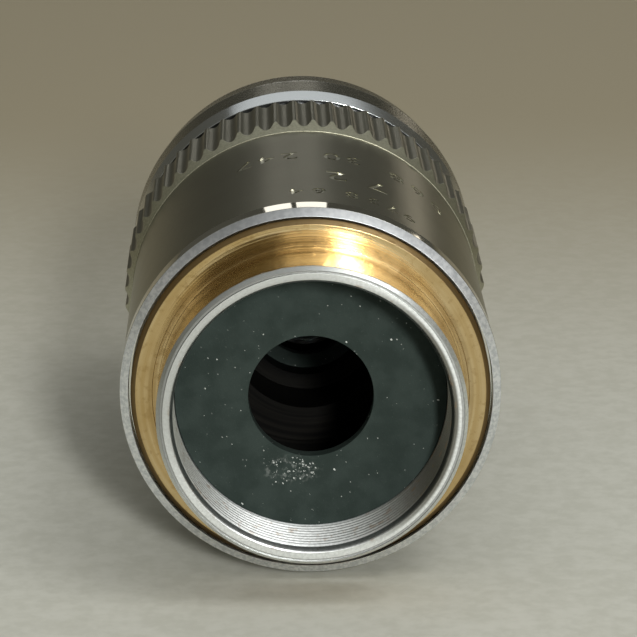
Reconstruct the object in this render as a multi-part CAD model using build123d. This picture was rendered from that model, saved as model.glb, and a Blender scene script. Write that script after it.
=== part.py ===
from build123d import *
import math
import os

# A sprung, high power microscope objective that lies along Y, in millimetres.
# The origin is the centre of the shoulder that seats on the nosepiece.
# The mounting neck points to -Y, the front lens to +Y, and the engraved side is up, to +Z.
# Its front ends 44.85 behind the shoulder: 0.15 of free distance makes the usual 45.

# Mounting neck, as wide as the crests of the standard 0.8 inch objective thread.
# No turns can be seen on it any more, so it is smooth. A hairline groove lies in its end.
neck_r = 10.13
neck_length = 5.0
neck_wall = 1.08
neck_edge = 0.23
neck_bore_edge = 0.22
neck_groove_width = 0.18
neck_groove_depth = 0.15

# Brass shoulder and the spigot that carries the barrel
shoulder_thickness = 1.4
shoulder_edge = 0.32
seat_relief_width = 0.37
seat_relief_depth = 0.12
spigot_length = 7.6
spigot_wall = 0.95

# Rear stop, a blackened disc that screws into the bore
stop_hole_r = 4.15
stop_thickness = 1.0
stop_depth = 4.65
stop_ledge = 0.75
stop_web = 1.35

# Barrel
barrel_wall = 1.44
barrel_length = 22.65
rim_setback = 0.2
rim_bevel = 0.56
rim_bevel_length = 0.3
rim_proud = 0.05
rim_band = 1.48
rim_gap = 0.17
barrel_end_edge = 0.1

# Grip ring
flute_count = 60
flute_width = 1.14
flute_depth = 0.31
flute_phase = 2.7
grip_proud = 0.58
grip_length = 8.15
grip_bevel = 1.3
grip_step = 0.05
grip_end_edge = 0.12
grip_pilot_length = 3.6

# Inner guide tube, seen from outside only at the waist
guide_wall = 0.97
guide_ledge_height = 1.3
guide_ledge_length = 6.0
guide_front_wall = 1.9
guide_front_length = 4.95
waist_drop = 0.22
waist_length = 2.05

# Front collar
collar_wall = 1.91
collar_rear_taper = 1.85
collar_rear_drop = 0.3
collar_length = 9.35
collar_front_taper = 3.8
collar_front_drop = 0.44
collar_edge = 0.35
collar_dish = 0.35
collar_mouth_wall = 1.6
collar_inner_step = 1.0
spanner_hole_r = 0.5
spanner_hole_depth = 0.9

# Front stop ring
ring_thickness = 1.2
ring_clearance = 0.4

# Lens carrier, which slides back against the spring
travel = 1.6
carrier_wall = 2.2
carrier_relief = 0.25
carrier_guide_length = 6.5
carrier_flange = 2.0
slot_depth = 0.6
slot_play = 0.1

# Spring
spring_space = 15.5
spring_wire_r = 0.45
spring_turns = 6
spring_wire_sides = 8

# Guide screw
screw_r = 0.9
screw_tip_r = 0.75
screw_tip_length = 0.5
screw_slot_width = 0.35
screw_slot_depth = 0.5
screw_inset = 3.0

# Nose
nose_reach = 1.63
nose_wall = 1.2
nose_joint_depth = 2.5
nose_cone_drop = 2.0
nose_cone_length = 1.2
nose_cell_proud = 0.12
nose_spigot_length = 2.0
nose_front_wall = 2.1

# Front lens and its cell
front_lens_r = 1.2
front_lens_edge = 0.45
front_cell_wall = 1.93
front_cell_rim = 0.45
front_cell_length = 1.6
front_cell_edge = 0.25

# Second lens, its cell and the ring that locks it
meniscus_r = 2.7
meniscus_edge = 0.5
meniscus_inset = 0.1
meniscus_rear_depth = 1.0
meniscus_front_depth = 0.55
meniscus_cell_wall = 1.45
meniscus_cell_length = 3.0
meniscus_ring_wall = 0.97
meniscus_ring_length = 0.9

# Cemented pairs and their cells
front_pair_r = 3.6
front_pair_cell_length = 5.2
rear_pair_r = 4.2
rear_pair_cell_length = 6.0
pair_cell_wall = 1.15
pair_lip = 0.4
pair_seat = 0.8
flint_edge = 1.5
crown_edge = 1.1
crown_front_depth = 0.55
crown_rear_depth = 0.8

# Spacers, aperture stop and retaining ring behind the pairs
spacer_wall = 0.8
front_spacer_length = 3.0
rear_spacer_length = 3.5
aperture_r = 3.3
aperture_thickness = 0.8
retaining_length = 1.7
retaining_wall = 1.07
spanner_slot_width = 0.9
spanner_slot_depth = 0.6

# Clearances
fit_gap = 0.03
slide_gap = 0.05
nose_gap = 0.08
cement_gap = 0.02
overrun = 1.0

full_turn = 360.0
half_share = 0.5

# Radii that follow, from the lenses outwards
cell_r = rear_pair_r + cement_gap + pair_cell_wall
retaining_r = cell_r - retaining_wall
carrier_bore_r = cell_r + fit_gap
carrier_tube_r = carrier_bore_r + carrier_wall
carrier_guide_r = carrier_tube_r + carrier_relief
guide_ledge_r = carrier_guide_r + slide_gap
guide_bore_r = guide_ledge_r + guide_ledge_height
carrier_flange_r = guide_bore_r - slide_gap
spring_r = (carrier_tube_r + guide_bore_r) * half_share
guide_r = guide_bore_r + guide_wall
guide_front_r = guide_bore_r + guide_front_wall
spigot_bore_r = guide_r + fit_gap
spigot_r = spigot_bore_r + spigot_wall
barrel_bore_r = spigot_r + fit_gap
barrel_r = barrel_bore_r + barrel_wall
waist_r = barrel_r - waist_drop
grip_r = barrel_r + grip_proud
rim_r = barrel_r + rim_proud
rim_inner_r = rim_r - rim_bevel
shoulder_r = rim_inner_r - rim_gap
collar_bore_r = guide_front_r + fit_gap
collar_inner_r = collar_bore_r - collar_inner_step
collar_r = collar_bore_r + collar_wall

# Radii of the nose
nose_r = carrier_bore_r + nose_wall
nose_face_r = nose_r - nose_cone_drop
collar_mouth_r = nose_r + nose_gap
front_cell_r = front_lens_r + cement_gap + front_cell_wall
front_cell_mouth_r = front_cell_r - front_cell_rim
meniscus_cell_r = meniscus_r + cement_gap + meniscus_cell_wall
meniscus_ring_r = meniscus_cell_r - meniscus_ring_wall
nose_bore_r = meniscus_cell_r + fit_gap

# Radii of the neck
neck_bore_r = neck_r - neck_wall
stop_disc_r = neck_bore_r - fit_gap
stop_ledge_r = neck_bore_r - stop_ledge

# Places along Y, from the shoulder forwards
stop_face = stop_depth - neck_length
stop_seat = stop_face + stop_thickness
guide_start = stop_seat + stop_web
spigot_end = shoulder_thickness + spigot_length
barrel_end = rim_setback + barrel_length
grip_end = barrel_end + grip_length
waist_end = grip_end + waist_length
guide_end = waist_end + guide_front_length
collar_end = waist_end + collar_length
collar_tip = collar_end + collar_edge + collar_dish
ring_end = guide_end + ring_thickness

# Places of the moving pieces, all at rest
flange_start = guide_end - carrier_flange
guide_ledge_end = flange_start - spring_space
guide_ledge_start = guide_ledge_end - guide_ledge_length
carrier_start = guide_ledge_end - carrier_guide_length
carrier_end = collar_tip - nose_joint_depth
nose_face = collar_tip + nose_reach
nose_spigot_start = carrier_end - nose_spigot_length
nose_ledge = nose_face - nose_front_wall
front_face = nose_face + nose_cell_proud
front_cell_start = front_face - front_cell_length
meniscus_start = nose_ledge - meniscus_cell_length
front_pair_start = nose_spigot_start - front_pair_cell_length
rear_pair_end = front_pair_start - front_spacer_length
rear_pair_start = rear_pair_end - rear_pair_cell_length
aperture_end = rear_pair_start - rear_spacer_length
retaining_end = aperture_end - aperture_thickness
retaining_start = retaining_end - retaining_length
screw_place = guide_ledge_end - screw_inset


def turned(*outline):
    """A solid turned about Y, from its outline of (radius, place) corners."""
    return revolve(make_face(Polyline(*outline, close=True)), Axis.Y)


def tube(outer, inner, start, end):
    """A plain turned tube."""
    return turned((inner, start), (outer, start), (outer, end), (inner, end))


def rod(radius, start, end):
    """A plain turned rod."""
    return turned((0, start), (radius, start), (radius, end), (0, end))


def dome(edge_r, edge, bulge):
    """Half of a lens surface, from its rim to its pole: an arc of a sphere, or flat."""
    if not bulge:
        return Line((edge_r, edge), (0, edge))
    sphere = (edge_r**2 + bulge**2) / (2 * abs(bulge))
    middle = edge_r * half_share
    height = math.sqrt(sphere**2 - middle**2) - (sphere - abs(bulge))
    rise = math.copysign(height, bulge)
    return ThreePointArc((edge_r, edge), (middle, edge + rise), (0, edge + bulge))


def lens(edge_r, rear_edge, front_edge, rear_bulge, front_bulge):
    """A glass lens. A bulge is how far the pole lies in front of the rim."""
    rear = dome(edge_r, rear_edge, rear_bulge)
    front = dome(edge_r, front_edge, front_bulge)
    rim = Line((edge_r, rear_edge), (edge_r, front_edge))
    core = Line((0, rear_edge + rear_bulge), (0, front_edge + front_bulge))
    return revolve(make_face(Curve() + [rear, rim, front, core]), Axis.Y)


def make_thread_mount():
    """Brass mount: neck, shoulder and spigot, bored through. Its fine inner thread is plain."""
    rear = -neck_length
    groove_floor = rear + neck_groove_depth
    groove_outer_r = neck_r - neck_edge
    groove_inner_r = groove_outer_r - neck_groove_width
    relief_r = neck_r + seat_relief_width
    return turned(
        (neck_bore_r + neck_bore_edge, rear),
        (groove_inner_r, rear),
        (groove_inner_r, groove_floor),
        (groove_outer_r, groove_floor),
        (groove_outer_r, rear),
        (neck_r, rear + neck_edge),
        (neck_r, seat_relief_depth),
        (relief_r, seat_relief_depth),
        (relief_r, 0),
        (shoulder_r - shoulder_edge, 0),
        (shoulder_r, shoulder_edge),
        (shoulder_r, shoulder_thickness),
        (spigot_r, shoulder_thickness),
        (spigot_r, spigot_end),
        (spigot_bore_r, spigot_end),
        (spigot_bore_r, guide_start),
        (stop_ledge_r, guide_start),
        (stop_ledge_r, stop_seat),
        (neck_bore_r, stop_seat),
        (neck_bore_r, rear + neck_bore_edge),
    )


def make_rear_stop():
    """Blackened disc with the round hole that the light leaves through."""
    return tube(stop_disc_r, stop_hole_r, stop_face, stop_seat)


def make_barrel():
    """Outer sleeve with a bevelled rim, a narrow raised band and a plain wall."""
    bevel_end = rim_setback + rim_bevel_length
    band_end = bevel_end + rim_band
    return turned(
        (rim_inner_r, rim_setback),
        (rim_r, bevel_end),
        (rim_r, band_end),
        (barrel_r, band_end + rim_proud),
        (barrel_r, barrel_end - barrel_end_edge),
        (barrel_r - barrel_end_edge, barrel_end),
        (barrel_bore_r, barrel_end),
        (barrel_bore_r, shoulder_thickness),
        (rim_inner_r, shoulder_thickness),
    )


def flute_cutters():
    """Round bars, one for each flute, that stand around the grip ring."""
    bar_r = (flute_width**2 * half_share**2 + flute_depth**2) / (2 * flute_depth)
    bar_place = grip_r - flute_depth + bar_r
    bar = Pos(0, 0, bar_place) * rod(bar_r, barrel_end - overrun, grip_end + overrun)
    step = full_turn / flute_count
    first = flute_phase + step * half_share
    return [Rot(0, first + step * number, 0) * bar for number in range(flute_count)]


def make_knurled_ring():
    """Grip ring: a pilot inside the barrel, a bevelled rear face and axial flutes."""
    pilot_r = barrel_bore_r - fit_gap
    ring = turned(
        (guide_r + fit_gap, barrel_end - grip_pilot_length),
        (pilot_r, barrel_end - grip_pilot_length),
        (pilot_r, barrel_end),
        (barrel_r + grip_step, barrel_end),
        (grip_r, barrel_end + grip_bevel),
        (grip_r, grip_end - grip_end_edge),
        (grip_r - grip_end_edge, grip_end),
        (guide_r + fit_gap, grip_end),
    )
    return ring - flute_cutters()


def make_guide_tube():
    """Inner tube: it clamps the grip ring with its waist and guides the carrier."""
    body = turned(
        (guide_bore_r, guide_start),
        (guide_r, guide_start),
        (guide_r, grip_end),
        (waist_r, grip_end),
        (waist_r, waist_end),
        (guide_front_r, waist_end),
        (guide_front_r, guide_end),
        (guide_bore_r, guide_end),
        (guide_bore_r, guide_ledge_end),
        (guide_ledge_r, guide_ledge_end),
        (guide_ledge_r, guide_ledge_start),
        (guide_bore_r, guide_ledge_start),
    )
    hole = Cylinder(screw_r + fit_gap, guide_bore_r, align=(Align.CENTER, Align.CENTER, Align.MIN))
    return body - Pos(0, screw_place, guide_ledge_r - slot_depth) * hole


def make_front_collar():
    """Front sleeve with tapered ends and a dished face with two holes for a spanner."""
    rear_r = collar_r - collar_rear_drop
    front_r = collar_r - collar_front_drop
    edge_r = front_r - collar_edge
    wall_start = collar_tip - collar_mouth_wall
    body = turned(
        (collar_bore_r, waist_end),
        (rear_r, waist_end),
        (collar_r, waist_end + collar_rear_taper),
        (collar_r, collar_end - collar_front_taper),
        (front_r, collar_end),
        (edge_r, collar_end + collar_edge),
        (collar_mouth_r + collar_edge, collar_tip),
        (collar_mouth_r, collar_tip - collar_edge),
        (collar_mouth_r, wall_start),
        (collar_inner_r, wall_start),
        (collar_inner_r, ring_end),
        (collar_bore_r, ring_end),
    )
    hole_place = (collar_inner_r + collar_mouth_r) * half_share
    hole = rod(spanner_hole_r, collar_tip - spanner_hole_depth, collar_tip + overrun)
    return body - Pos(hole_place, 0, 0) * hole - Pos(-hole_place, 0, 0) * hole


def make_stop_ring():
    """Ring clamped between the guide tube and the collar, which the flange rests on."""
    return tube(guide_front_r, nose_r + ring_clearance, guide_end, ring_end)


def make_guide_screw():
    """Headless screw through the guide tube, with its tip in the carrier's slot."""
    tip_start = carrier_guide_r - slot_depth + slot_play
    body_start = tip_start + screw_tip_length
    upright = (Align.CENTER, Align.CENTER, Align.MIN)
    body = Pos(0, 0, body_start) * Cylinder(screw_r, guide_r - body_start, align=upright)
    tip = Pos(0, 0, tip_start) * Cylinder(screw_tip_r, screw_tip_length, align=upright)
    slot = Pos(0, 0, guide_r) * Box(2 * screw_r, screw_slot_width, 2 * screw_slot_depth)
    return Pos(0, screw_place, 0) * (body + tip - slot)


def make_spring():
    """Coil spring between the guide tube's ledge and the carrier's flange."""
    height = spring_space - 2 * spring_wire_r
    start = guide_ledge_end + spring_wire_r
    path = Helix(
        pitch=height / spring_turns,
        height=height,
        radius=spring_r,
        center=(0, start, 0),
        direction=(0, 1, 0),
    )
    wire = Plane(origin=path @ 0, z_dir=path % 0) * RegularPolygon(spring_wire_r, spring_wire_sides)
    return sweep(wire, path=path, is_frenet=True)


def make_carrier():
    """Sliding tube with a rear guide, a slot for the screw and a flange at the front."""
    body = turned(
        (carrier_bore_r, carrier_start),
        (carrier_guide_r, carrier_start),
        (carrier_guide_r, guide_ledge_end),
        (carrier_tube_r, guide_ledge_end),
        (carrier_tube_r, flange_start),
        (carrier_flange_r, flange_start),
        (carrier_flange_r, guide_end),
        (nose_r, guide_end),
        (nose_r, carrier_end),
        (carrier_bore_r, carrier_end),
    )
    reach = screw_tip_r + slot_play
    slot = Box(2 * reach, travel + 2 * reach, 2 * slot_depth)
    return body - Pos(0, screw_place + travel * half_share, carrier_guide_r) * slot


def make_nose_cone():
    """Plated nose: a spigot in the carrier, a short wall and a blunt cone."""
    return turned(
        (nose_bore_r, nose_spigot_start),
        (cell_r, nose_spigot_start),
        (cell_r, carrier_end),
        (nose_r, carrier_end),
        (nose_r, nose_face - nose_cone_length),
        (nose_face_r, nose_face),
        (front_cell_r + fit_gap, nose_face),
        (front_cell_r + fit_gap, front_cell_start),
        (front_cell_mouth_r, front_cell_start),
        (front_cell_mouth_r, nose_ledge),
        (nose_bore_r, nose_ledge),
    )


def make_front_cell():
    """Small steel cell that holds the front lens at the very tip."""
    throat_r = front_lens_r + cement_gap
    return turned(
        (front_cell_mouth_r, front_cell_start),
        (front_cell_r, front_cell_start),
        (front_cell_r, front_face - front_cell_edge),
        (front_cell_r - front_cell_edge, front_face),
        (throat_r, front_face),
        (throat_r, front_face - front_lens_edge),
    )


def make_front_lens():
    """Front lens: a flat face towards the specimen and a half ball behind it."""
    edge = front_face - front_lens_edge
    return lens(front_lens_r, edge, front_face, -front_lens_r, 0)


def make_meniscus_cell():
    """Cell of the second lens, held against the nose's inner ledge."""
    rim_start = meniscus_start + meniscus_cell_length * half_share
    bore_r = meniscus_r + cement_gap
    return turned(
        (bore_r, rim_start),
        (meniscus_ring_r, meniscus_start),
        (meniscus_cell_r, meniscus_start),
        (meniscus_cell_r, nose_ledge),
        (bore_r, nose_ledge),
    )


def make_meniscus_lens():
    """Second lens, hollow towards the front lens."""
    front = nose_ledge - meniscus_inset
    rear = front - meniscus_edge
    return lens(meniscus_r, rear, front, -meniscus_rear_depth, -meniscus_front_depth)


def make_meniscus_ring():
    """Ring that locks the second cell in the nose."""
    start = meniscus_start - meniscus_ring_length
    return tube(meniscus_cell_r, meniscus_ring_r, start, meniscus_start)


def make_pair_cell(lens_r, start, end):
    """Cell of a cemented pair, bored from the front to a lip behind the pair."""
    seat = start + pair_seat
    return turned(
        (lens_r - pair_lip, start),
        (cell_r, start),
        (cell_r, end),
        (lens_r + cement_gap, end),
        (lens_r + cement_gap, seat),
        (lens_r - pair_lip, seat),
    )


def make_flint(lens_r, start):
    """Rear glass of a pair, hollow towards the front."""
    rear = start + pair_seat
    return lens(lens_r, rear, rear + flint_edge, 0, -crown_rear_depth)


def make_crown(lens_r, start):
    """Front glass of a pair, round on both sides, a cement layer away from the flint."""
    rear = start + pair_seat + flint_edge + cement_gap
    return lens(lens_r, rear, rear + crown_edge, -crown_rear_depth, crown_front_depth)


def make_spacer(start, end):
    """Plain ring between two cells."""
    return tube(cell_r, cell_r - spacer_wall, start, end)


def make_retaining_ring():
    """Threaded ring with two spanner slots, which clamps the whole stack."""
    ring = tube(cell_r, retaining_r, retaining_start, retaining_end)
    slot = Box(2 * (cell_r + overrun), 2 * spanner_slot_depth, spanner_slot_width)
    return ring - Pos(0, retaining_start, 0) * slot


os.makedirs("parts", exist_ok=True)

parts = {
    "thread_mount": make_thread_mount(),
    "rear_stop": make_rear_stop(),
    "barrel": make_barrel(),
    "knurled_ring": make_knurled_ring(),
    "guide_tube": make_guide_tube(),
    "front_collar": make_front_collar(),
    "stop_ring": make_stop_ring(),
    "guide_screw": make_guide_screw(),
    "spring": make_spring(),
    "carrier": make_carrier(),
    "nose_cone": make_nose_cone(),
    "front_cell": make_front_cell(),
    "front_lens": make_front_lens(),
    "meniscus_cell": make_meniscus_cell(),
    "meniscus_lens": make_meniscus_lens(),
    "meniscus_ring": make_meniscus_ring(),
    "doublet_cell_front": make_pair_cell(front_pair_r, front_pair_start, nose_spigot_start),
    "crown_lens_front": make_crown(front_pair_r, front_pair_start),
    "flint_lens_front": make_flint(front_pair_r, front_pair_start),
    "spacer_front": make_spacer(rear_pair_end, front_pair_start),
    "doublet_cell_rear": make_pair_cell(rear_pair_r, rear_pair_start, rear_pair_end),
    "crown_lens_rear": make_crown(rear_pair_r, rear_pair_start),
    "flint_lens_rear": make_flint(rear_pair_r, rear_pair_start),
    "spacer_rear": make_spacer(aperture_end, rear_pair_start),
    "aperture_stop": tube(cell_r, aperture_r, retaining_end, aperture_end),
    "retaining_ring": make_retaining_ring(),
}

for name, shape in parts.items():
    export_step(shape, "parts/" + name + ".step")
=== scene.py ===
import math

import bmesh
import bpy
from mathutils import Matrix, Vector


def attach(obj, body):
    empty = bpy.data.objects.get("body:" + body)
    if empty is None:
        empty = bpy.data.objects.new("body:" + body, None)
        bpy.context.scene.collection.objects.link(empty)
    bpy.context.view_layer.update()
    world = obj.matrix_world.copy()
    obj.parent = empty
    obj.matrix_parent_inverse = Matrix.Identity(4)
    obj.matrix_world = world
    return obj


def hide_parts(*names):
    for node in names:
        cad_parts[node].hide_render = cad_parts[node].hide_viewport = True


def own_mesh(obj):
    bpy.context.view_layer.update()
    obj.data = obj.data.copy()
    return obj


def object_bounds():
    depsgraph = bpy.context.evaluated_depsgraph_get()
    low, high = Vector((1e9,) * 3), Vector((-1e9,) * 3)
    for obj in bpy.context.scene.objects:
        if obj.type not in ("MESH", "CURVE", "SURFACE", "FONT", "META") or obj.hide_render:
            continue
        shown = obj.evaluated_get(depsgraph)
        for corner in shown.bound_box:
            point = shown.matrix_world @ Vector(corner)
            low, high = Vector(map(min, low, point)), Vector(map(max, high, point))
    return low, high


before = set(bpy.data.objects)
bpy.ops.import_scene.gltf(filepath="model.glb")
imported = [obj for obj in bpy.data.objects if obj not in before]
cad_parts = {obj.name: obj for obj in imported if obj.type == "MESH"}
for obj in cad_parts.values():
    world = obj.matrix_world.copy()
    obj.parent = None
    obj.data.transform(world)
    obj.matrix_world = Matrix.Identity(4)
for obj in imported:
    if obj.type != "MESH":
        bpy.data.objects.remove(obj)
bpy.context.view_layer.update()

# A sprung microscope objective that lies along Y on a pale floor, seen from its brass neck.
# Turned outlines are lists of (radius, place along Y) in millimetres, as a lathe would cut them.
mm = 0.001
full_turn = 2 * math.pi
round_steps = 256
tiny = 0.01

# Sizes of the visible pieces, in millimetres, along Y from the shoulder's face
neck_r = 10.13
neck_rear = -5.0
neck_edge = 0.23
end_groove = (9.72, 9.90)
end_groove_depth = 0.15
relief_r = 10.5
relief_depth = 0.12
shoulder_r = 11.94
shoulder_edge = 0.32
shoulder_front = 1.4
spigot_r = 11.15
spigot_bore_r = 10.2
spigot_front = 9.0
bore_r = 9.05
bore_edge = 0.22
lip_r = 9.4
stop_ledge_r = 8.3
stop_rear = -0.35
stop_front = 0.65
stop_r = 9.02
stop_hole_r = 4.15
stop_web_front = 2.0

# Fine inner thread of the bore
thread_root_r = 9.17
thread_pitch = 0.48
thread_rear = -4.22
thread_crest_half = 0.05
thread_root_half = 0.165

rim_rear = 0.2
rim_inner_r = 12.11
rim_r = 12.67
rim_bevel_front = 0.5
rim_band_front = 1.98
barrel_r = 12.62
barrel_bore_r = 11.18
barrel_front = 22.85

grip_front = 31.0
grip_bevel_front = 24.15
grip_r = 13.2
grip_rear_r = 12.67
grip_edge = 0.12
grip_pilot_r = 11.15
grip_pilot_rear = 19.25
grip_bore_r = 10.2
flute_count = 60
flute_width = 1.14
flute_depth = 0.31
flute_phase = 2.7
steps_a_flute = 16

waist_front = 33.05
collar_rear_r = 12.74
collar_taper_front = 34.9
collar_r = 13.04
collar_cone_rear = 38.6
collar_cone_r = 12.6
collar_edge_rear = 42.4
collar_edge = 0.35
collar_tip = 43.1
collar_mouth_r = 6.68
collar_bore_r = 11.13
collar_inner_r = 10.13
collar_wall_rear = 41.5
stop_ring_front = 39.2
spring_rear = 20.5
spring_space = 15.5
spring_coil_r = 8.4
spring_wire_r = 0.45
spring_turns = 6
spanner_hole_r = 0.5
spanner_hole_x = 8.405
spanner_hole_depth = 0.9

# The inner pieces are blackened within this radius, up to about this place
light_path_r = 4.5
light_path_front = 40.0

# Patch of dust under the stop's hole: its middle and half its width and height, in X and Z
dust_place = (-1.3, -5.1)
dust_reach = (1.9, 0.95)

# Engraved rows: figures, their height, the place of their feet along Y, and their angles
engraving_depth = 0.1
font_size_share = 1.4
engraved_rows = [
    ("74203865", 1.9, 16.4, (-20, -13, -5.5, 8, 15, 30, 38, 46)),
    ("27", 2.4, 11.0, (9, 22)),
    ("468379", 1.5, 5.9, (-4, 3, 13, 20, 26, 32)),
]

# Lamps: name, azimuth and elevation in degrees, distance, width and height in metres, glow and
# colour. The azimuth is 0 at +Y, where the nose points, and 90 at +X.
lamps = [
    ("main_lamp", 169, 20, 0.8, 0.07, 0.142, 180, (1, 1, 1)),
    ("front_softbox", 168, 9, 0.7, 0.4, 0.2, 1.25, (1, 1, 1)),
    ("side_lamp", 125, 58, 0.6, 0.26, 0.26, 4.5, (1, 1, 1)),
    ("back_softbox", 5, 32, 0.6, 0.48, 0.13, 0.7, (0.95, 0.98, 1)),
    ("top_softbox", 350, 76, 0.7, 0.5, 0.16, 0.7, (1, 1, 1)),
    ("left_pane", -4.5, 14.3, 0.8, 0.06, 0.045, 1.5, (1, 0.96, 0.88)),
    ("right_pane", 1.2, 14.3, 0.8, 0.07, 0.045, 1.5, (1, 0.96, 0.88)),
    ("side_pane", 17.5, 6.5, 0.8, 0.06, 0.08, 1.8, (1, 0.9, 0.74)),
]

# Sky: the upward part of the direction, and the colour there
sky_stops = [
    (0.0, (0.2, 0.19, 0.15)),
    (0.24, (0.17, 0.165, 0.135)),
    (0.45, (0.22, 0.215, 0.19)),
    (0.7, (0.32, 0.32, 0.3)),
    (1.0, (0.45, 0.45, 0.44)),
]

# Camera at the photograph's place: almost in line with the axis and a little above it
camera_place = (-3.62, -200.30, 63.53)
camera_right = (0.99979, -0.02059, 0)
camera_up = (0.00575, 0.27927, 0.96020)
camera_lens = 179.4
floor_size = 3.0


class Value:
    """A number, colour or vector inside a finish. Sums on it add the shader's maths nodes."""

    def __init__(self, finish, socket):
        self.finish = finish
        self.socket = socket

    def maths(self, operation, *others):
        return self.finish.node("ShaderNodeMath", {"operation": operation}, self, *others)

    def __add__(self, other):
        return self.maths("ADD", other)

    def __sub__(self, other):
        return self.maths("SUBTRACT", other)

    def __rsub__(self, other):
        return self.finish.node("ShaderNodeMath", {"operation": "SUBTRACT"}, other, self)

    def __mul__(self, other):
        return self.maths("MULTIPLY", other)

    def __truediv__(self, other):
        return self.maths("DIVIDE", other)

    def __pow__(self, other):
        return self.maths("POWER", other)

    __radd__ = __add__
    __rmul__ = __mul__


class Nodes:
    """A node tree that is built by code, one node at a time."""

    def __init__(self, tree):
        self.tree = tree
        tree.nodes.clear()

    def node(self, kind, settings, *values, output=0, **named):
        """Adds a node, makes its settings, then fills its sockets, by order or by name."""
        node = self.tree.nodes.new(kind)
        for key, setting in settings.items():
            if key == "stops":
                self.set_stops(node.color_ramp, setting)
            else:
                setattr(node, key, setting)
        for socket, value in zip(node.inputs, values):
            self.fill(socket, value)
        for key, value in named.items():
            self.fill(node.inputs[key.replace("_", " ")], value)
        return Value(self, node.outputs[output])

    def fill(self, socket, value):
        """Links a value to a socket, or sets a number or colour on it. None leaves it alone."""
        if isinstance(value, Value):
            self.tree.links.new(value.socket, socket)
        elif isinstance(value, tuple):
            socket.default_value = (*value, 1)
        elif value is not None:
            socket.default_value = value

    def set_stops(self, ramp, stops):
        """Gives a colour ramp its (place, colour) stops."""
        for place, colour in stops[len(ramp.elements):]:
            ramp.elements.new(place)
        for element, (place, colour) in zip(ramp.elements, stops):
            element.position = place
            element.color = (*colour, 1)

    def end_in(self, kind, socket):
        """Links a socket to the output of the whole tree."""
        output = self.tree.nodes.new(kind)
        self.tree.links.new(socket, output.inputs[0])


class Finish(Nodes):
    """One procedural material. Its places are measured in millimetres on the object."""

    def __init__(self, name):
        self.material = bpy.data.materials.new(name)
        self.material.use_nodes = True
        super().__init__(self.material.node_tree)
        self.surface = self.tree.nodes.new("ShaderNodeBsdfPrincipled")
        self.end_in("ShaderNodeOutputMaterial", self.surface.outputs["BSDF"])
        place = self.node("ShaderNodeTexCoord", {}, output="Object")
        self.place = self.node("ShaderNodeVectorMath", {"operation": "SCALE"}, place, Scale=1 / mm)
        self.x, self.y, self.z = (
            self.node("ShaderNodeSeparateXYZ", {}, self.place, output=axis) for axis in "XYZ")
        self.r = (self.x * self.x + self.z * self.z) ** 0.5

    def point(self, x, y, z):
        return self.node("ShaderNodeCombineXYZ", {}, x, y, z)

    def noise(self, vector, scale=1.0, detail=3.0, roughness=0.55):
        return self.node("ShaderNodeTexNoise", {}, Vector=vector, Scale=scale, Detail=detail,
                         Roughness=roughness)

    def round_streaks(self, along, around=1.0, detail=4.0):
        """Streaks left by turning: fine along Y and across a face, long around the axis."""
        turn_x = self.x / self.r * around
        turn_z = self.z / self.r * around
        return self.noise(self.point(turn_x, self.y * along + self.r * along, turn_z), detail=detail)

    def flakes(self, scale, size, share):
        """Specks of dust: small ragged spots in some of the cells of a scattered pattern."""
        shift = self.noise(self.place, 9.0) * 0.25
        ragged = self.point(self.x + shift, self.y + shift, self.z - shift)
        cells = {"Vector": ragged, "Scale": scale}
        away = self.node("ShaderNodeTexVoronoi", {}, output="Distance", **cells)
        lot = self.node("ShaderNodeTexVoronoi", {}, output="Color", **cells)
        chosen = self.node("ShaderNodeSeparateXYZ", {}, lot, output="X")
        return self.ramp(away, size, size * 0.6) * self.ramp(chosen - share, 0.01, -0.01)

    def ramp(self, value, low, high):
        """0 below low, 1 above high, and a soft step between. Low may be above high."""
        return self.node("ShaderNodeMapRange", {"interpolation_type": "SMOOTHSTEP"}, value,
                         From_Min=low, From_Max=high)

    def band(self, value, low, high, soft):
        """1 between low and high, falling to 0 over the soft width outside."""
        return self.ramp(value, low - soft, low) * self.ramp(value, high + soft, high)

    def mix(self, mask, first, second):
        """A colour that goes from first, where the mask is 0, to second, where it is 1."""
        settings = {"data_type": "RGBA", "clamp_factor": True}
        unused = [None] * 5
        return self.node("ShaderNodeMix", settings, mask, *unused, first, second, output=2)

    def blend(self, mask, first, second):
        """The same for numbers."""
        return self.node("ShaderNodeMix", {"data_type": "FLOAT", "clamp_factor": True},
                         mask, A=first, B=second)

    def bump(self, height, strength=1.0, distance=0.02, normal=None):
        """Relief from a height. The distance is in millimetres."""
        named = {"Normal": normal} if normal else {}
        return self.node("ShaderNodeBump", {}, Strength=strength, Distance=distance * mm,
                         Height=height, **named)

    def set(self, **sockets):
        """Fills the surface's own sockets: Base_Color for Base Color, and so on."""
        for key, value in sockets.items():
            self.fill(self.surface.inputs[key.replace("_", " ")], value)
        return self.material


def tone(red, green, blue):
    """A colour as the eye reads it, from 0 to 255, as the linear colour that a finish takes."""
    shares = [part / 255 for part in (red, green, blue)]
    return tuple(part / 12.92 if part < 0.04 else ((part + 0.055) / 1.055) ** 2.4 for part in shares)


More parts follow.
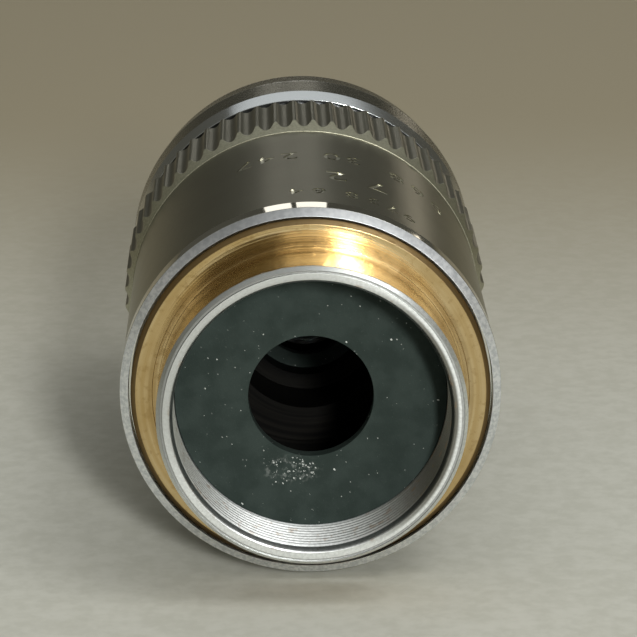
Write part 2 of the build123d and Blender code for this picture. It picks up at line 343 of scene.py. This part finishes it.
def mount_finish():
    """Bare brass outside, plated grey on the end face and in the bore, black further in."""
    f = Finish("brass_and_plating")
    streak = f.round_streaks(2.4, 0.8)
    fine = f.round_streaks(9.0, 0.5)
    cloud = f.noise(f.place, 0.35)
    grain = f.noise(f.place, 5.0)
    brass = f.mix(f.ramp(streak, 0.35, 0.68), tone(206, 181, 131), tone(232, 212, 168))
    brass = f.mix(f.ramp(cloud, 0.45, 0.7) * 0.5, brass, tone(186, 158, 104))
    patina = f.ramp(f.noise(f.point(f.x, f.y * 3, f.z), 1.9, 6.0), 0.52, 0.66)
    brass = f.mix(patina * 0.45, brass, tone(158, 130, 84))
    # Painted shade: the brass is darker towards the left and towards the right of the neck and shoulder.
    brass = f.mix(f.ramp(f.x, 2.0, -9.0) * 0.4, brass, tone(170, 140, 86))
    brass = f.mix(f.ramp(f.x, 3.0, 9.0) * 0.4, brass, tone(176, 148, 100))
    # Painted shade in the crease where the neck meets the shoulder.
    root_shade = f.band(f.r, relief_r - 0.2, relief_r + 0.2, 0.15) * f.ramp(f.y, -0.35, 0.0)
    brass = f.mix(root_shade * 0.25, brass, tone(120, 92, 52))
    # Painted shade: the shoulder's chamfer under the rim is darkened, and made rougher.
    shaded_chamfer = f.ramp(f.r, shoulder_r - shoulder_edge - 0.04, shoulder_r - shoulder_edge + 0.04)
    brass = f.mix(shaded_chamfer * 0.8, brass, tone(96, 74, 42))
    grey = f.mix(f.ramp(grain, 0.3, 0.7), tone(212, 215, 213), tone(232, 235, 233))
    # Painted shade darkens the plating at the upper left and on the right wall of the bore; inside the
    # bore it is also stained
    grey = f.mix(f.ramp(f.z - f.x, 2.0, 11.0) * 0.75, grey, tone(164, 166, 162))
    shaded_right_wall = f.ramp(f.r, lip_r + 0.2, lip_r) * f.ramp(f.x, 2.0, 8.5)
    grey = f.mix(shaded_right_wall * 0.9, grey, tone(92, 90, 80))
    stain = f.ramp(f.noise(f.place, 1.1, 6.0), 0.58, 0.68) * f.ramp(f.r, lip_r + 0.05, lip_r - 0.15)
    grey = f.mix(stain * 0.5, grey, tone(150, 122, 92))
    ragged_edge = f.y + f.noise(f.place, 1.6) * 0.5
    plated_lip = f.ramp(ragged_edge, neck_rear + 0.7, neck_rear + 0.55)
    plated_bore = f.ramp(f.r, end_groove[1], end_groove[0] - 0.02)
    plated = 1 - (1 - plated_lip) * (1 - plated_bore)
    colour = f.mix(plated, brass, grey)
    face = f.ramp(f.r, lip_r - 0.1, lip_r + 0.05)
    # Painted shade on the floor of the narrow groove in the end face.
    groove_shade = f.band(f.r, end_groove[0] + 0.02, end_groove[1] - 0.02, 0.03)
    groove_shade = groove_shade * f.ramp(f.y, neck_rear + 0.2, neck_rear + 0.1)
    colour = f.mix(groove_shade, colour, tone(60, 58, 52))
    deep = f.ramp(f.y, stop_front - 0.15, stop_front + 0.01)
    deep = deep * f.ramp(f.r, spigot_bore_r + 0.2, spigot_bore_r + 0.05)
    colour = f.mix(deep, colour, tone(24, 23, 21))
    rough_brass = 0.06 + fine * 0.07 + patina * 0.06 + shaded_chamfer * 0.35
    rough = f.blend(plated, rough_brass, 0.31 + grain * 0.06 + face * 0.06)
    relief = f.bump((streak + fine * 0.8) * (1 - plated * 0.94), 0.4, 0.012)
    return f.set(Base_Color=colour, Metallic=1.0, Roughness=f.blend(deep, rough, 0.7), Normal=relief)


def barrel_finish():
    """Satin chrome wall, a polished band and a bright bevel at the rear rim."""
    f = Finish("satin_and_polished_chrome")
    grain = f.noise(f.point(f.x * 14, f.y * 1.4, f.z * 14), detail=2.0)
    cloud = f.noise(f.place, 0.22)
    wall = f.ramp(f.y, rim_band_front - 0.02, rim_band_front + 0.06)
    bevel = f.ramp(f.y, rim_bevel_front + 0.03, rim_bevel_front - 0.03)
    satin = f.mix(f.ramp(grain, 0.3, 0.7), tone(129, 127, 107), tone(145, 143, 123))
    satin = f.mix(f.ramp(cloud, 0.4, 0.7) * 0.4, satin, tone(119, 115, 95))
    # Painted shade: the satin wall is darker along its top.
    satin = f.mix(f.ramp(f.z, 7.0, barrel_r) * 0.6, satin, tone(102, 100, 84))
    engraved = wall * f.band(f.r, barrel_r - 0.3, barrel_r - 0.06, 0.03)
    satin = f.mix(engraved, satin, tone(196, 195, 182))
    mottle = f.noise(f.place, 4.0, 5.0)
    silver = f.mix(f.ramp(mottle, 0.35, 0.65), tone(208, 212, 216), tone(238, 240, 242))
    # Painted shade: the rim's bevel is darker at the top.
    silver = f.mix(f.ramp(f.z, 7.0, 12.0) * 0.85, silver, tone(134, 136, 136))
    colour = f.mix(wall, tone(205, 205, 196), satin)
    colour = f.mix(bevel, colour, silver)
    rough = f.blend(wall, 0.05, 0.29 + grain * 0.06)
    rough = f.blend(bevel, rough, 0.3 + mottle * 0.1)
    relief = f.bump(grain * wall + mottle * bevel * 0.3, 0.3, 0.01)
    return f.set(Base_Color=colour, Metallic=1.0, Roughness=rough, Normal=relief)


def grip_finish():
    """Satin chrome flutes and a rear bevel with painted light: a lighter copy of the same chrome."""
    f = Finish("fluted_chrome")
    grain = f.noise(f.place, 6.0)
    slope = (grip_r - grip_rear_r) / (grip_bevel_front - barrel_front)
    cone_r = grip_rear_r + (f.y - barrel_front) * slope
    on_cone = f.ramp(f.r - cone_r, -0.035, -0.012) * f.ramp(f.y, grip_bevel_front + 0.1, grip_bevel_front)
    satin = f.mix(f.ramp(grain, 0.3, 0.7), tone(112, 111, 95), tone(128, 126, 111))
    # Painted light: the rear bevel takes a lighter copy of the satin chrome.
    light = f.mix(f.ramp(grain, 0.3, 0.7), tone(160, 159, 138), tone(182, 181, 160))
    depth = f.ramp(f.r, grip_r - 0.04, grip_r - flute_depth)
    colour = f.mix(depth * 0.3, satin, tone(104, 102, 88))
    colour = f.mix(on_cone, colour, light)
    rough = f.blend(on_cone, 0.3 + grain * 0.08, 0.4)
    relief = f.bump(grain, 0.3, 0.01)
    return f.set(Base_Color=colour, Metallic=1.0, Roughness=rough, Normal=relief)


def collar_finish():
    """Chrome, a little less satin than the barrel, bright where the rear taper is worn, and with a
    painted glint along the rear edge of the front cone.
    """
    f = Finish("collar_chrome")
    grain = f.noise(f.point(f.x * 10, f.y * 3, f.z * 10), detail=2.0)
    cloud = f.noise(f.place, 0.3)
    satin = f.mix(f.ramp(grain, 0.3, 0.7), tone(107, 106, 90), tone(120, 118, 102))
    satin = f.mix(f.ramp(cloud, 0.4, 0.7) * 0.4, satin, tone(101, 98, 82))
    taper = f.ramp(f.y, collar_taper_front + 0.04, collar_taper_front - 0.04)
    # Painted glint: a bright line along the rear edge of the front cone.
    edge = f.band(f.y, collar_cone_rear - 0.12, collar_cone_rear + 0.12, 0.05)
    taper_and_glint = 1 - (1 - taper) * (1 - edge)
    colour = f.mix(taper_and_glint, satin, tone(200, 204, 204))
    rough = f.blend(taper_and_glint, 0.24 + grain * 0.06, 0.16)
    relief = f.bump(grain, 0.25, 0.008)
    return f.set(Base_Color=colour, Metallic=1.0, Roughness=rough, Normal=relief)


def black_stop_finish():
    """Matte black coating with a fine grain and flakes of white dust."""
    f = Finish("matte_black")
    grain = f.noise(f.place, 7.0, 4.0)
    cloud = f.noise(f.place, 0.5)
    colour = f.mix(f.ramp(cloud, 0.35, 0.65), tone(38, 47, 43), tone(46, 55, 51))
    colour = f.mix(f.ramp(grain, 0.62, 0.78) * 0.5, colour, tone(66, 74, 69))
    across = (f.x - dust_place[0]) / dust_reach[0]
    upward = (f.z - dust_place[1]) / dust_reach[1]
    crowd = f.ramp(across * across + upward * upward, 1.5, 0.2)
    flakes = f.flakes(1.3, 0.1, 0.22) + f.flakes(3.3, 0.15, 0.12) * 0.7
    flakes = flakes + f.flakes(4.5, 0.28, crowd * 0.75) * 0.85
    flakes = flakes + f.ramp(f.noise(f.place, 2.6, 5.0), 0.5, 0.68) * crowd * 0.22
    colour = f.mix(flakes, colour, tone(186, 190, 184))
    relief = f.bump(grain + flakes, 0.6, 0.02)
    return f.set(Base_Color=colour, Roughness=0.7, Specular_IOR_Level=0.1, Normal=relief)


def plain_metal_finish(name, dark, light, roughness):
    """Turned metal of an inner piece: rings left by the tool and a soft grain."""
    f = Finish(name)
    streak = f.round_streaks(3.0, 0.4)
    colour = f.mix(f.ramp(streak, 0.3, 0.7), dark, light)
    inside = f.ramp(f.r, light_path_r, light_path_r - 0.2)
    inside = inside * f.ramp(f.y, light_path_front, light_path_front - 2.0)
    colour = f.mix(inside, colour, tone(20, 20, 19))
    relief = f.bump(streak, 0.3, 0.01)
    return f.set(Base_Color=colour, Metallic=1.0, Roughness=roughness + streak * 0.12, Normal=relief)


def glass_finish(name, colour):
    """Polished glass with a thin coating."""
    f = Finish(name)
    film = f.noise(f.place, 1.5)
    tint = f.mix(f.ramp(film, 0.3, 0.7), colour, tone(232, 238, 246))
    return f.set(Base_Color=tint, Roughness=0.02 + film * 0.02, Transmission_Weight=1.0, IOR=1.52)


def turned(outline, steps=round_steps):
    """A closed outline turned about Y, as a bmesh."""
    shape = bmesh.new()
    corners = [shape.verts.new((radius * mm, place * mm, 0)) for radius, place in outline]
    sides = [shape.edges.new(pair) for pair in zip(corners, corners[1:] + corners[:1])]
    bmesh.ops.spin(shape, geom=corners + sides, axis=(0, 1, 0), cent=(0, 0, 0), angle=full_turn,
                   steps=steps, use_merge=True)
    return shape


def lathe(name, outline, soften):
    """A turned piece with its sharp edges softened."""
    shape = turned(outline)
    bmesh.ops.recalc_face_normals(shape, faces=shape.faces)
    soften_edges(shape, soften)
    return piece_of(name, shape)


def soften_edges(shape, width, angle=0.08):
    """Rounds each edge that bends by more than the angle, which is in radians."""
    sharp = [edge for edge in shape.edges
             if len(edge.link_faces) == 2 and edge.calc_face_angle() > angle]
    bmesh.ops.bevel(shape, geom=sharp, offset=width * mm, affect="EDGES", segments=2, profile=0.5,
                    material=-1)


def mesh_now(holder):
    """The mesh of an object as its curves and modifiers make it."""
    bpy.context.view_layer.update()
    graph = bpy.context.evaluated_depsgraph_get()
    return bpy.data.meshes.new_from_object(holder.evaluated_get(graph))


def cut(piece, shapes):
    """Cuts closed shapes out of a piece, one by one, and evens its normals again."""
    for shape in shapes:
        mesh = bpy.data.meshes.new("cutter")
        shape.to_mesh(mesh)
        shape.free()
        cutter = bpy.data.objects.new("cutter", mesh)
        bpy.context.scene.collection.objects.link(cutter)
        difference = piece.modifiers.new("difference", "BOOLEAN")
        difference.object = cutter
        difference.solver = "EXACT"
        result = mesh_now(piece)
        piece.modifiers.remove(difference)
        piece.data = result
        bpy.data.objects.remove(cutter)
    even_normals(piece.data)


def figure(character, height, depth):
    """One plain engraved figure as a bmesh, centred, with its floor and top at the given depth."""
    text = bpy.data.curves.new("figure", "FONT")
    text.body = character
    text.size = height * font_size_share * mm
    text.extrude = depth * mm
    text.align_x = "CENTER"
    holder = bpy.data.objects.new("figure", text)
    bpy.context.scene.collection.objects.link(holder)
    mesh = mesh_now(holder)
    bpy.data.objects.remove(holder)
    shape = bmesh.new()
    shape.from_mesh(mesh)
    bmesh.ops.remove_doubles(shape, verts=shape.verts, dist=0.004 * mm)
    return shape


def engraving():
    """Three rows of plain figures, bent round the barrel, read with the neck upwards."""
    for characters, height, front, angles in engraved_rows:
        for character, angle in zip(characters, angles):
            shape = figure(character, height, engraving_depth)
            for vert in shape.verts:
                turn = math.radians(angle) - vert.co.x / (barrel_r * mm)
                reach = barrel_r * mm + vert.co.z
                vert.co = (reach * math.sin(turn), front * mm - vert.co.y, reach * math.cos(turn))
            bmesh.ops.recalc_face_normals(shape, faces=shape.faces)
            if shape.calc_volume(signed=True) < 0:
                bmesh.ops.reverse_faces(shape, faces=shape.faces)
            yield shape


def spanner_holes():
    """The two blind holes in the front face that a spanner turns the collar by."""
    for side in (-1, 1):
        shape = bmesh.new()
        place = Matrix.Translation(Vector((side * spanner_hole_x, collar_tip, 0)) * mm)
        bmesh.ops.create_cone(shape, cap_ends=True, segments=48, radius1=spanner_hole_r * mm,
                              radius2=spanner_hole_r * mm, depth=2 * spanner_hole_depth * mm,
                              matrix=place @ Matrix.Rotation(full_turn / 4, 4, "X"))
        yield shape


def piece_of(name, shape):
    """Turns the finished shape into an object with smooth faces and even normals."""
    for face in shape.faces:
        face.smooth = True
    mesh = bpy.data.meshes.new(name)
    shape.to_mesh(mesh)
    shape.free()
    piece = bpy.data.objects.new(name, mesh)
    bpy.context.scene.collection.objects.link(piece)
    even_normals(mesh)
    return piece


def even_normals(mesh, spread=0.9):
    """Lets large faces set the normals at each corner, so that softened edges stay thin glints.

    A face that turns away from the corner's own face by more than the spread, in radians, has
    no say in it.
    """
    shape = bmesh.new()
    shape.from_mesh(mesh)
    weighted = [face.normal * face.calc_area() for face in shape.faces]
    shape.faces.ensure_lookup_table()
    shape.faces.index_update()
    least = math.cos(spread)
    normals = []
    for face in shape.faces:
        for corner in face.loops:
            near = [weighted[other.index] for other in corner.vert.link_faces
                    if other.normal.dot(face.normal) > least]
            normals.append(sum(near, Vector((0, 0, 0))).normalized())
    shape.free()
    mesh.normals_split_custom_set(normals)


def dress(piece, material, body, slot, *nodes):
    """Gives a new piece its finish, its body and the nodes that it stands for."""
    piece.data.materials.clear()
    piece.data.materials.append(material)
    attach(piece, body)
    if nodes:
        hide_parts(*nodes)


def wound(name, shape, turns, steps, rise):
    """Winds an outline about Y, so many millimetres forward in all, and closes its ends."""
    bmesh.ops.spin(shape, geom=shape.verts[:] + shape.edges[:], axis=(0, 1, 0), cent=(0, 0, 0),
                   dvec=(0, rise * mm / steps, 0), angle=full_turn * turns, steps=steps)
    ends = [edge for edge in shape.edges if len(edge.link_faces) == 1]
    bmesh.ops.holes_fill(shape, edges=ends)
    bmesh.ops.recalc_face_normals(shape, faces=shape.faces)
    return piece_of(name, shape)


def make_thread():
    """The ridge of the fine inner thread, as one long helix."""
    turns = (stop_front - thread_rear) / thread_pitch
    steps_a_turn = 128
    steps = round(turns * steps_a_turn)
    base = thread_root_r + 0.05
    profile = [(base, -thread_root_half), (bore_r, -thread_crest_half), (bore_r, thread_crest_half),
               (base, thread_root_half)]
    ridge = bmesh.new()
    corners = [ridge.verts.new((0, (thread_rear + place) * mm, radius * mm)) for radius, place in profile]
    for pair in zip(corners, corners[1:] + corners[:1]):
        ridge.edges.new(pair)
    return wound("inner_thread", ridge, turns, steps, thread_pitch * steps / steps_a_turn)


def make_mount():
    """Brass mount: neck, shoulder and spigot, with the fine inner thread in its bore."""
    groove_inner, groove_outer = end_groove
    groove_floor = neck_rear + end_groove_depth
    mount = lathe("brass_mount", [
        (bore_r + bore_edge, neck_rear),
        (groove_inner, neck_rear),
        (groove_inner, groove_floor),
        (groove_outer, groove_floor),
        (groove_outer, neck_rear),
        (neck_r, neck_rear + neck_edge),
        (neck_r, relief_depth),
        (relief_r, relief_depth),
        (relief_r, 0),
        (shoulder_r - shoulder_edge, 0),
        (shoulder_r, shoulder_edge),
        (shoulder_r, shoulder_front),
        (spigot_r, shoulder_front),
        (spigot_r, spigot_front),
        (spigot_bore_r, spigot_front),
        (spigot_bore_r, stop_web_front),
        (stop_ledge_r, stop_web_front),
        (stop_ledge_r, stop_front),
        (thread_root_r, stop_front),
        (thread_root_r, thread_rear - thread_root_half),
        (bore_r, thread_rear - thread_root_half - 0.1),
        (bore_r, neck_rear + bore_edge + 0.2),
        (bore_r + 0.08, neck_rear + bore_edge),
        (bore_r + 0.15, neck_rear + 0.08),
    ], soften=0.02)
    finish = mount_finish()
    dress(mount, finish, "body", "bare_brass", "thread_mount")
    dress(make_thread(), finish, "body", "bare_brass")


def make_stop():
    """Black disc with its round hole."""
    disc = lathe("rear_stop_disc", [
        (stop_hole_r, stop_rear), (stop_r, stop_rear), (stop_r, stop_front), (stop_hole_r, stop_front),
    ], soften=0.05)
    dress(disc, black_stop_finish(), "body", "black_paint", "rear_stop")


def make_barrel():
    """Outer sleeve with its bevelled rim, polished band and engraved figures."""
    sleeve = lathe("barrel_sleeve", [
        (rim_inner_r, rim_rear),
        (rim_r, rim_bevel_front),
        (rim_r, rim_band_front),
        (barrel_r, rim_band_front + 0.05),
        (barrel_r, barrel_front - 0.1),
        (barrel_r - 0.1, barrel_front),
        (barrel_bore_r, barrel_front),
        (barrel_bore_r, shoulder_front),
        (rim_inner_r, shoulder_front),
    ], soften=0.03)
    cut(sleeve, engraving())
    dress(sleeve, barrel_finish(), "body", "satin_chrome", "barrel")


def flute_radius(angle):
    """How far out the ring reaches at an angle once its flutes are cut."""
    bar_r = (flute_width**2 / 4 + flute_depth**2) / (2 * flute_depth)
    bar_place = grip_r - flute_depth + bar_r
    step = full_turn / flute_count
    first = math.radians(flute_phase) + step / 2
    away = (angle - first + step / 2) % step - step / 2
    across = bar_place * math.sin(away)
    if abs(across) >= bar_r:
        return grip_r
    return min(grip_r, bar_place * math.cos(away) - math.sqrt(bar_r**2 - across**2))


def make_grip():
    """Grip ring: each column of the turned ring is pushed in to the floor of its flute."""
    steps = flute_count * steps_a_flute
    bevel_slope = (grip_bevel_front - barrel_front) / (grip_r - grip_rear_r)
    outline = [
        (grip_bore_r, grip_pilot_rear),
        (grip_pilot_r, grip_pilot_rear),
        (grip_pilot_r, barrel_front),
        (grip_rear_r, barrel_front),
        (grip_r, grip_bevel_front),
        (grip_r, grip_front - grip_edge),
        (grip_r - grip_edge, grip_front),
        (grip_bore_r, grip_front),
    ]
    shape = turned(outline, steps)
    for vert in shape.verts:
        radius = math.hypot(vert.co.x, vert.co.z) / mm
        reach = flute_radius(math.atan2(vert.co.x, vert.co.z))
        if radius < grip_r - grip_edge - tiny or reach >= radius:
            continue
        if barrel_front + tiny < vert.co.y / mm < grip_bevel_front + tiny:
            vert.co.y = (barrel_front + (reach - grip_rear_r) * bevel_slope) * mm
        vert.co.x *= reach / radius
        vert.co.z *= reach / radius
    bmesh.ops.recalc_face_normals(shape, faces=shape.faces)
    soften_edges(shape, 0.025, angle=0.35)
    ring = piece_of("fluted_grip", shape)
    dress(ring, grip_finish(), "body", "satin_chrome", "knurled_ring")


def make_collar():
    """Front sleeve with its tapers, mouth and spanner holes."""
    collar = lathe("front_sleeve", [
        (collar_bore_r, waist_front),
        (collar_rear_r, waist_front),
        (collar_r, collar_taper_front),
        (collar_r, collar_cone_rear),
        (collar_cone_r, collar_edge_rear),
        (collar_cone_r - collar_edge, collar_edge_rear + collar_edge),
        (collar_mouth_r + collar_edge, collar_tip),
        (collar_mouth_r, collar_tip - collar_edge),
        (collar_mouth_r, collar_wall_rear),
        (collar_inner_r, collar_wall_rear),
        (collar_inner_r, stop_ring_front),
        (collar_bore_r, stop_ring_front),
    ], soften=0.03)
    cut(collar, spanner_holes())
    dress(collar, collar_finish(), "body", "satin_chrome", "front_collar")


def make_spring():
    """Round wire coiled round the carrier."""
    wire = bmesh.new()
    start = Vector((0, spring_rear + spring_wire_r, spring_coil_r))
    upright = Matrix.Rotation(full_turn / 4, 4, "Y")
    bmesh.ops.create_circle(wire, segments=16, radius=spring_wire_r * mm,
                            matrix=Matrix.Translation(start * mm) @ upright)
    coil = wound("coil_spring", wire, spring_turns, spring_turns * 96, spring_space - 2 * spring_wire_r)
    finish = plain_metal_finish("spring_wire", tone(120, 120, 120), tone(150, 150, 150), 0.25)
    dress(coil, finish, "body", "spring_steel", "spring")
    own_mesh(coil)


def repaint(material, *names):
    """Gives CAD pieces that keep their own shape a better finish."""
    for name in names:
        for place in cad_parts[name].material_slots:
            place.link = "OBJECT"
            place.material = material


def paint_inner_pieces():
    """Finishes for the pieces inside, which keep their CAD shapes."""
    brass = plain_metal_finish("turned_brass", tone(168, 130, 70), tone(214, 176, 108), 0.25)
    black = plain_metal_finish("blackened_brass", tone(20, 20, 19), tone(32, 31, 28), 0.5)
    chrome = plain_metal_finish("nose_chrome", tone(176, 176, 172), tone(206, 206, 202), 0.12)
    steel = plain_metal_finish("turned_steel", tone(158, 160, 162), tone(190, 192, 194), 0.2)
    repaint(brass, "stop_ring", "meniscus_cell", "doublet_cell_front", "doublet_cell_rear")
    repaint(black, "guide_tube", "carrier", "meniscus_ring", "spacer_front", "spacer_rear")
    repaint(black, "retaining_ring")
    repaint(chrome, "nose_cone")
    repaint(steel, "front_cell", "guide_screw")
    repaint(black_stop_finish(), "aperture_stop")
    repaint(glass_finish("lens_glass", tone(214, 226, 236)), "front_lens", "meniscus_lens")
    repaint(glass_finish("crown_glass", tone(216, 232, 226)), "crown_lens_front", "crown_lens_rear")
    repaint(glass_finish("flint_glass", tone(232, 230, 214)), "flint_lens_front", "flint_lens_rear")


def direction(azimuth, elevation):
    """Unit vector from the object towards a place at the given angles, in degrees."""
    turn, rise = math.radians(azimuth), math.radians(elevation)
    return Vector((math.sin(turn) * math.cos(rise), math.cos(turn) * math.cos(rise), math.sin(rise)))


def add_lamp(name, azimuth, elevation, distance, width, height, glow, colour):
    """A soft rectangular lamp that faces the object. A glow of 1 is plain white."""
    data = bpy.data.lights.new(name, "AREA")
    data.shape = "RECTANGLE"
    data.size = width
    data.size_y = height
    data.energy = glow * math.pi * width * height
    data.color = colour
    lamp = bpy.data.objects.new(name, data)
    away = direction(azimuth, elevation)
    lamp.location = away * distance
    lamp.rotation_euler = away.to_track_quat("Z", "Y").to_euler()
    bpy.context.scene.collection.objects.link(lamp)


def add_lights():
    """Soft studio light: a sky that brightens upwards and dims ahead, and the lamps."""
    world = bpy.data.worlds.new("studio")
    world.use_nodes = True
    sky = Nodes(world.node_tree)
    place = sky.node("ShaderNodeTexCoord", {}, output="Generated")
    up = sky.node("ShaderNodeSeparateXYZ", {}, place, output="Z")
    ahead = sky.node("ShaderNodeSeparateXYZ", {}, place, output="Y")
    dim = sky.node("ShaderNodeMapRange", {}, ahead, From_Min=0.5, From_Max=0.93, To_Min=1, To_Max=0.4)
    colour = sky.node("ShaderNodeValToRGB", {"stops": sky_stops}, up)
    light = sky.node("ShaderNodeBackground", {}, colour, dim)
    sky.end_in("ShaderNodeOutputWorld", light.socket)
    bpy.context.scene.world = world
    for lamp in lamps:
        add_lamp(*lamp)


def add_floor():
    """Pale floor under the object, with painted shade that darkens it towards the back."""
    f = Finish("pale_floor")
    grain = f.noise(f.place, 0.8, 5.0)
    # Painted shade: the floor grows darker and browner towards the back.
    shaded_far = f.ramp(f.y, 10.0, 150.0)
    near = f.mix(f.ramp(grain, 0.3, 0.7), tone(184, 184, 172), tone(194, 194, 183))
    colour = f.mix(shaded_far, near, tone(150, 141, 117))
    material = f.set(Base_Color=colour, Roughness=0.8)
    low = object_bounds()[0][2]
    shape = bmesh.new()
    bmesh.ops.create_grid(shape, x_segments=1, y_segments=1, size=floor_size,
                          matrix=Matrix.Translation((0, 0, low)))
    mesh = bpy.data.meshes.new("floor")
    shape.to_mesh(mesh)
    shape.free()
    floor = bpy.data.objects.new("floor", mesh)
    mesh.materials.append(material)
    bpy.context.scene.collection.objects.link(floor)


def add_camera():
    """Camera at the photograph's place, without depth of field."""
    data = bpy.data.cameras.new("camera")
    data.lens = camera_lens
    data.sensor_width = 36
    data.clip_start = 0.01
    camera = bpy.data.objects.new("camera", data)
    right, up = Vector(camera_right), Vector(camera_up)
    turn = Matrix((right, up, right.cross(up))).transposed()
    camera.matrix_world = Matrix.Translation(Vector(camera_place) * mm) @ turn.to_4x4()
    bpy.context.scene.collection.objects.link(camera)
    bpy.context.scene.camera = camera


make_mount()
make_stop()
make_barrel()
make_grip()
make_collar()
make_spring()
paint_inner_pieces()
add_floor()
add_lights()
add_camera()
bpy.context.scene.view_settings.view_transform = "Standard"
